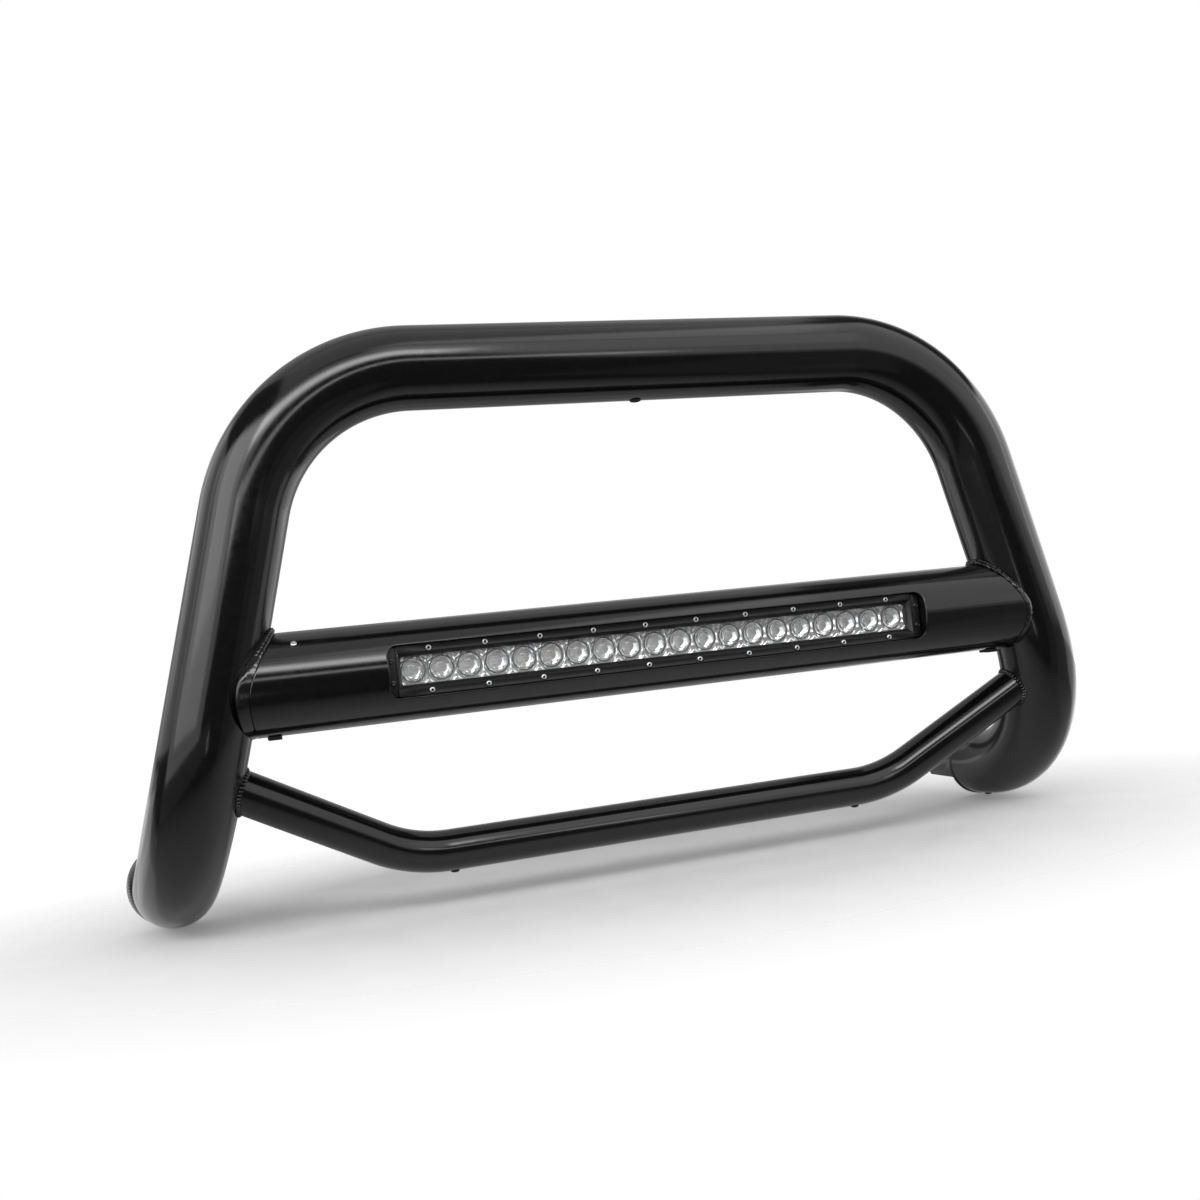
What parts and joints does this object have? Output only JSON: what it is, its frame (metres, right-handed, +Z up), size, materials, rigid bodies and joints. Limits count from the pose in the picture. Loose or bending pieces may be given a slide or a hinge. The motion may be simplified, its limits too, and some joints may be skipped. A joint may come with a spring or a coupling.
{
  "type": "front grille guard",
  "caption": "Tubular front grille guard: hoop with rearward arms, cross tube with a recessed LED light bar, lower bar and slotted mounting tabs.",
  "frame": {"origin": "centre of the guard's box, at mid width", "axes": "+X to the right as seen from the front, +Y towards the vehicle, +Z up along the plane of the hoop; the light faces -Y"},
  "size_m": [1.0028, 0.319, 0.5333],
  "materials": {
    "black_powder_coat": "semi-gloss black powder coat on mild steel tube",
    "black_alloy": "black coated die-cast and extruded aluminium",
    "reflector_chrome": "vacuum-metallised reflector",
    "lens_clear": "clear polycarbonate cover and projector lenses",
    "board_white": "white solder mask with yellow emitters",
    "screw_steel": "bright stainless",
    "black_rubber": "black moulded rubber and nylon"
  },
  "bodies": {
    "guard": {"hoop_tube": "black_powder_coat", "cross_tube": "black_powder_coat", "lower_tube": "black_powder_coat", "top_drain_plug": "black_rubber", "cross_blank_screw": "screw_steel", "end_plate_left": "black_powder_coat", "mount_tab_left": "black_powder_coat", "arm_plug_left": "black_rubber", "lower_plug_left": "black_rubber", "cross_insert_left": "black_rubber", "light_bracket_left": "black_powder_coat", "pivot_bolt_left": "screw_steel", "end_plate_right": "black_powder_coat", "mount_tab_right": "black_powder_coat", "arm_plug_right": "black_rubber", "lower_plug_right": "black_rubber", "cross_insert_right": "black_rubber", "light_bracket_right": "black_powder_coat", "pivot_bolt_right": "screw_steel"},
    "light_bar": {"light_housing": "black_alloy", "light_bezel": "black_alloy", "clear_lens": "lens_clear", "lens_gasket": "black_rubber", "led_board": "board_white", "cable_gland": "black_rubber", "breather_vent": "black_rubber", "reflector_1": "reflector_chrome", "reflector_2": "reflector_chrome", "reflector_3": "reflector_chrome", "reflector_4": "reflector_chrome", "reflector_5": "reflector_chrome", "light_end_cap_left": "black_alloy", "end_gasket_left": "black_rubber", "cap_screw_left_upper": "screw_steel", "cap_screw_left_lower": "screw_steel", "light_end_cap_right": "black_alloy", "end_gasket_right": "black_rubber", "cap_screw_right_upper": "screw_steel", "cap_screw_right_lower": "screw_steel", "bezel_screw_01": "screw_steel", "bezel_screw_02": "screw_steel", "bezel_screw_03": "screw_steel", "bezel_screw_04": "screw_steel", "bezel_screw_05": "screw_steel", "bezel_screw_06": "screw_steel", "bezel_screw_07": "screw_steel", "bezel_screw_08": "screw_steel", "bezel_screw_09": "screw_steel", "bezel_screw_10": "screw_steel", "bezel_screw_11": "screw_steel", "bezel_screw_12": "screw_steel", "bezel_screw_13": "screw_steel", "bezel_screw_14": "screw_steel", "bezel_screw_15": "screw_steel", "bezel_screw_16": "screw_steel", "bezel_screw_17": "screw_steel", "bezel_screw_18": "screw_steel", "bezel_screw_19": "screw_steel", "bezel_screw_20": "screw_steel"}
  },
  "joints": [
    {"name": "light_aim", "type": "hinge", "parent": "guard", "child": "light_bar", "pos_m": [0, -0.11507, -0.04244], "axis": [1, 0, 0], "range_deg": [-5, 5]}
  ]
}
